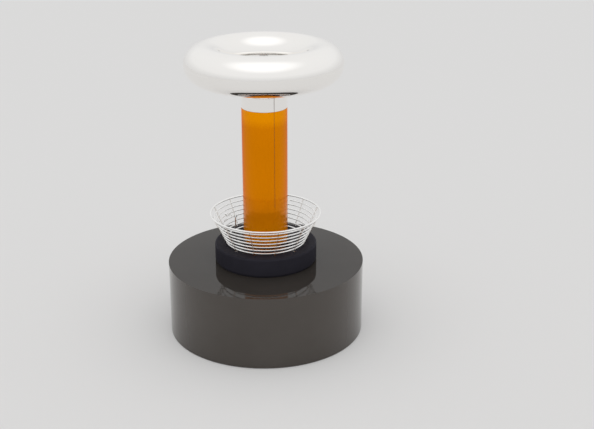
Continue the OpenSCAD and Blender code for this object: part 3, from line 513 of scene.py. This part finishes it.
def studio_world():
    """Plain light for all surfaces, a paler sky with a soft glow overhead for glossy ones."""
    world = bpy.data.worlds.new("studio")
    bpy.context.scene.world = world
    world.use_nodes = True
    tree = world.node_tree
    where = node(tree, "ShaderNodeTexCoord")
    split = node(tree, "ShaderNodeSeparateXYZ")
    join(tree, where.outputs["Generated"], split.inputs["Vector"])
    rise = tones(
        tree, split.outputs["Z"], (0.0, (0.735, 0.735, 0.735)), (0.32, (0.85, 0.85, 0.85)),
        (0.85, (0.88, 0.88, 0.88)),
    )
    facing = node(tree, "ShaderNodeVectorMath", operation="DOT_PRODUCT")
    facing.inputs[1].default_value = (0, -math.sin(SOFTBOX_TILT), math.cos(SOFTBOX_TILT))
    join(tree, where.outputs["Generated"], facing.inputs[0])
    glow = node(
        tree, "ShaderNodeMapRange", interpolation_type="SMOOTHSTEP", From_Min=0.74, From_Max=1.0,
        To_Min=0.0, To_Max=0.24,
    )
    join(tree, facing.outputs["Value"], glow.inputs["Value"])
    lit = blend(tree, rise, (1, 1, 1, 1), glow.outputs["Result"], "ADD")
    direct, glossy = seen_directly(tree)
    shiny = blend(tree, (0.66, 0.66, 0.66, 1), lit, glossy)
    join(tree, blend(tree, shiny, BACKDROP, direct), tree.nodes["Background"].inputs["Color"])


def overhead_softbox():
    bpy.ops.object.light_add(type="SUN", location=(0, -0.6, 6), rotation=(math.radians(8), 0, 0))
    lamp = bpy.context.object
    lamp.name = "overhead_softbox"
    lamp.data.energy = 0.75
    lamp.data.angle = math.radians(62)
    lamp.visible_glossy = False


def main_camera():
    looks_down = math.radians(90 - 21.096)
    bpy.ops.object.camera_add(location=(0.2245, -7.1088, 3.601), rotation=(looks_down, 0, 0))
    camera = bpy.context.object
    camera.name = "main_view"
    camera.data.lens = 64.75
    camera.data.sensor_width = 36
    bpy.context.scene.camera = camera


# Toroid and what carries it

def toroid():
    """Two spun halves met at the equator, modelled as one polished skin with a hairline groove."""
    outer = RING_R + RING_A - SEAM_INSET
    seam = [(outer, RING_Z - SEAM_HALF), (outer - SEAM_DEPTH, RING_Z), (outer, RING_Z + SEAM_HALF)]
    steps = 96
    angles = [TURN * i / steps for i in range(1, steps)]
    section = [(RING_R + RING_A * math.cos(t), RING_Z + RING_B * math.sin(t)) for t in angles]
    skin = turned("polished_toroid_skin", closed(seam + section), 224)
    smooth(skin, 40)
    fitted(skin, mirror, stands_for=("toroid_lower", "toroid_upper"))


def carrier_rim():
    under, foot = PLATE_TOP - PLATE_SHEET, PLATE_TOP - PLATE_SKIRT
    inside, sheet_in = PLATE_R - PLATE_RIM, PLATE_R - PLATE_SHEET
    foot_edge, top_edge = 0.5, 0.6
    rim = turned("toroid_plate_rim", closed([
        (inside, under), (sheet_in, under), (sheet_in, foot), (PLATE_R - foot_edge, foot),
        (PLATE_R, foot + foot_edge), (PLATE_R, PLATE_TOP - top_edge), (PLATE_R - top_edge, PLATE_TOP),
        (inside, PLATE_TOP),
    ]), 128)
    smooth(rim)
    return rim


def carrier_hub(under, top):
    chamfer, knee = 2, 0.6
    hub = turned("toroid_plate_hub", closed([
        (0, under), (HUB_R, under), (HUB_R, top - chamfer), (HUB_R - knee, top - knee),
        (HUB_R - chamfer, top), (0, top),
    ]), 96)
    smooth(hub)
    return hub


def carrier_webs():
    """Bars on edge between the hub and the skirt, sunk a little into both."""
    inner, outer = HUB_R - 4.5, PLATE_R - 1.5
    bpy.ops.mesh.primitive_cube_add(
        size=MM, location=((inner + outer) / 2 * MM, 0, (PLATE_TOP - SPOKE_H / 2) * MM),
        scale=(outer - inner, SPOKE_W, SPOKE_H),
    )
    web = settled("toroid_plate_web")
    rounded(web, 0.5)
    smooth(web)
    return joined("toroid_plate_webs", ring_of(web, SPOKES, 180 / SPOKES))


def carrier_screws(face):
    """Socket screws: the profile is radius, and height over the hub's face."""
    head = [(0, -0.4), (5.2, -0.4), (5.2, 1.2), (4.2, 2.6), (2.2, 3.2), (2.2, 1.4), (0, 1.4)]
    screw = turned("toroid_carrier_screw", [(r, face + z) for r, z in head], 24)
    smooth(screw)
    only(screw)
    bpy.ops.transform.translate(value=(SCREW_CIRCLE * MM, 0, 0))
    bpy.ops.object.transform_apply(location=True, rotation=False, scale=False)
    screws = joined("toroid_carrier_screws", ring_of(screw, SCREWS))
    fitted(screws, steel)


def toroid_carrier():
    """Spoked carrier below the toroid's inner seam: rim with a skirt, webs on edge, bolted hub."""
    under = PLATE_TOP - PLATE_SHEET
    top = under + HUB_T
    rim = carrier_rim()
    hub = carrier_hub(under, top)
    carrier = joined("toroid_carrier", [rim, carrier_webs(), hub])
    fitted(carrier, brushed_plate, stands_for=("centre_plate",))
    carrier_screws(top)


# Secondary: end cap, winding and its lead

def end_cap():
    """Polished skirt rolled over at its rim, round a blasted disc whose plug sits in the tube."""
    roll, roll_steps = 7, 10
    angles = [TURN / 4 * i / roll_steps for i in range(roll_steps + 1)]
    rolled = [(CAP_R - roll * (1 - math.cos(a)), CAP_TOP - roll + roll * math.sin(a)) for a in angles]
    bore, foot, seat = TUBE_R + FIT, WIND_TOP + 1, CAP_R - 9
    skirt = turned("polished_end_skirt", closed([
        (bore, TUBE_TOP), (bore, foot), (WIND_R - 0.3, foot), (WIND_R, foot + 0.4), (WIND_R, TUBE_TOP),
        (CAP_R - 1, TUBE_TOP), (CAP_R - 0.3, TUBE_TOP + 0.3), (CAP_R, TUBE_TOP + 1),
        *rolled, (seat, CAP_TOP), (seat, TUBE_TOP),
    ]), 160)
    smooth(skirt)
    fitted(skirt, polished_cap, stands_for=("end_cap",))
    plug_r, plug_depth, disc_r, soft = TUBE_R - 5.7, 15, seat - 0.2, 0.5
    disc = turned("satin_end_cap", closed([
        (0, TUBE_TOP - plug_depth), (plug_r, TUBE_TOP - plug_depth), (plug_r, TUBE_TOP), (disc_r, TUBE_TOP),
        (disc_r, CAP_TOP - soft), (disc_r - soft, CAP_TOP), (0, CAP_TOP),
    ]), 128)
    smooth(disc)
    fitted(disc, blasted_disc, stands_for=("end_cap",))


def winding():
    bore, soft_in, soft_up = TUBE_R + FIT, 0.4, 0.6
    sleeve = turned("orange_winding", closed([
        (bore, WIND_FOOT), (WIND_R - soft_in, WIND_FOOT), (WIND_R, WIND_FOOT + soft_up),
        (WIND_R, WIND_TOP - soft_up), (WIND_R - soft_in, WIND_TOP), (bore, WIND_TOP),
    ]), 192)
    smooth(sleeve)
    fitted(sleeve, winding_finish, stands_for=("secondary_winding",))


def winding_lead():
    """Thin lead from the terminal over the cap's rim, down the skirt and along the winding."""
    over, down = CAP_R + 1.9, WIND_R + 1.0
    route = [
        (WIND_R - 5.4, CAP_TOP + 1.5), (over - 1.4, CAP_TOP + 1.6), (over - 0.3, CAP_TOP + 0.6),
        (over, CAP_TOP - 3), (over - 0.2, TUBE_TOP - 4), (down, TUBE_TOP - 26),
        (down, 1500), (down, 1200), (down, LEAD_FOOT),
    ]
    points = [polar(LEAD_AZ, r, z) for r, z in route]
    lead = wire("thin_winding_lead", points, LEAD_R, 8, kind="NURBS")
    fitted(lead, lead_finish, stands_for=("winding_lead",))


# Primary coil and strike ring

def ease(t):
    t = min(max(t, 0.0), 1.0)
    return t * t * (3 - 2 * t)


def coil_at(a):
    """Each turn lies level and round, and climbs to the next one over its last part."""
    turns = math.floor(a / 360)
    level = turns + ease((a - 360 * turns - (360 - COIL_CLIMB)) / COIL_CLIMB)
    return polar(a + COIL_START, COIL_R + COIL_STEP_OUT * level, COIL_Z + COIL_STEP_UP * level)


def straight_on(point, az, way):
    """The coil's end carried on along its own direction."""
    a = math.radians(az)
    return (point[0] - way * COIL_TAIL * math.sin(a), point[1] + way * COIL_TAIL * math.cos(a), point[2])


def coil():
    steps = COIL_SWEEP // 3
    path = [coil_at(COIL_SWEEP * i / steps) for i in range(steps + 1)]
    head = straight_on(path[0], COIL_START, -1)
    tail = straight_on(path[-1], COIL_START + COIL_SWEEP, 1)
    tube = wire("primary_tube", [head, *path, tail], COIL_TUBE, 12)
    fitted(tube, bright_tube, stands_for=("primary_coil",))


def strike():
    steps = 176
    path = [polar(STRIKE_START + STRIKE_SWEEP * i / steps, STRIKE_R, STRIKE_Z) for i in range(steps + 1)]
    ring = wire("strike_tube", path, STRIKE_TUBE, 20)
    fitted(ring, bright_tube, stands_for=("strike_ring",))


bpy.context.scene.view_settings.view_transform = "Standard"
pale_floor()
studio_world()
overhead_softbox()
main_camera()
toroid()
toroid_carrier()
end_cap()
winding()
winding_lead()
coil()
strike()

MODELLED_ANEW = {
    "toroid_lower", "toroid_upper", "centre_plate", "end_cap", "secondary_winding", "winding_lead",
    "primary_coil", "strike_ring",
}
SHELL = {"top_panel", "wall_front", "wall_rear_right", "wall_rear_left", "door_panel"}
for part in sorted(set(frame["nodes"]) - MODELLED_ANEW):
    piece = dressed(part, SHELL_EDGE if part in SHELL else EDGE)
    if part == "top_panel":
        top_of_plinth(piece)
